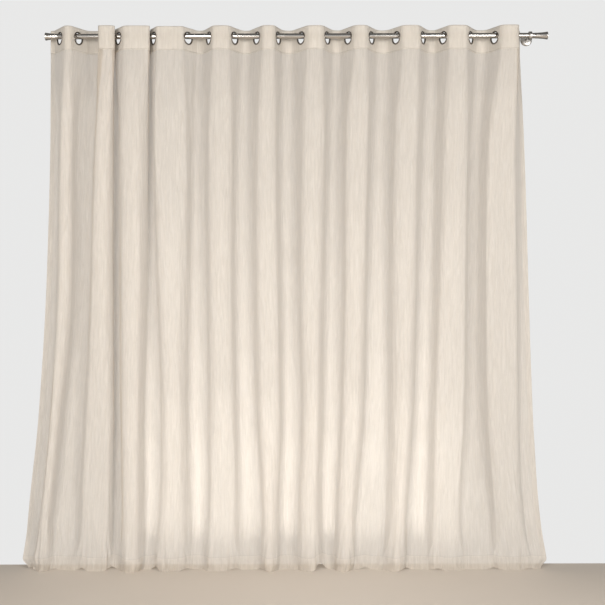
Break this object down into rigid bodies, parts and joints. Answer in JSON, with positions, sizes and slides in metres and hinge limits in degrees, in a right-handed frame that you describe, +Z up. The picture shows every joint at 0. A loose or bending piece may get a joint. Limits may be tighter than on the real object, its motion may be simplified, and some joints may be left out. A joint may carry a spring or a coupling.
{
  "type": "sheer eyelet curtain with curtain rod",
  "caption": "Floor-length sheer eyelet curtain in crinkled natural cloth, hung in uneven folds on a round metal curtain rod with flared finials, brackets and wall plates.",
  "frame": {"origin": "centre of the right wall plate's back face, at the height of the rod's axis", "axes": "+X along the rod to the viewer's right, +Y into the wall, +Z up"},
  "size_m": [2.4173, 0.1569, 2.4822],
  "materials": {
    "sheer_cloth": "sheer crinkled plain weave in natural beige with slubs that run down the cloth",
    "doubled_cloth": "the same cloth doubled and stiffened for the heading",
    "brushed_steel": "satin steel tube with a soft grain along it",
    "eyelet_metal": "pressed nickel-coloured ring, polished",
    "cast_metal": "satin cast metal"
  },
  "bodies": {
    "root": {"panel": "sheer_cloth", "heading": "doubled_cloth", "rod": "brushed_steel", "finial_left": "brushed_steel", "finial_right": "brushed_steel", "bracket_left": "cast_metal", "bracket_right": "cast_metal", "wall_plate_left": "cast_metal", "wall_plate_right": "cast_metal", "eyelet_01": "eyelet_metal", "eyelet_02": "eyelet_metal", "eyelet_03": "eyelet_metal", "eyelet_04": "eyelet_metal", "eyelet_05": "eyelet_metal", "eyelet_06": "eyelet_metal", "eyelet_07": "eyelet_metal", "eyelet_08": "eyelet_metal", "eyelet_09": "eyelet_metal", "eyelet_10": "eyelet_metal", "eyelet_11": "eyelet_metal", "eyelet_12": "eyelet_metal", "eyelet_13": "eyelet_metal", "eyelet_14": "eyelet_metal", "eyelet_15": "eyelet_metal", "eyelet_16": "eyelet_metal", "eyelet_17": "eyelet_metal", "eyelet_18": "eyelet_metal", "eyelet_19": "eyelet_metal", "eyelet_20": "eyelet_metal", "eyelet_21": "eyelet_metal", "eyelet_22": "eyelet_metal"}
  },
  "joints": []
}
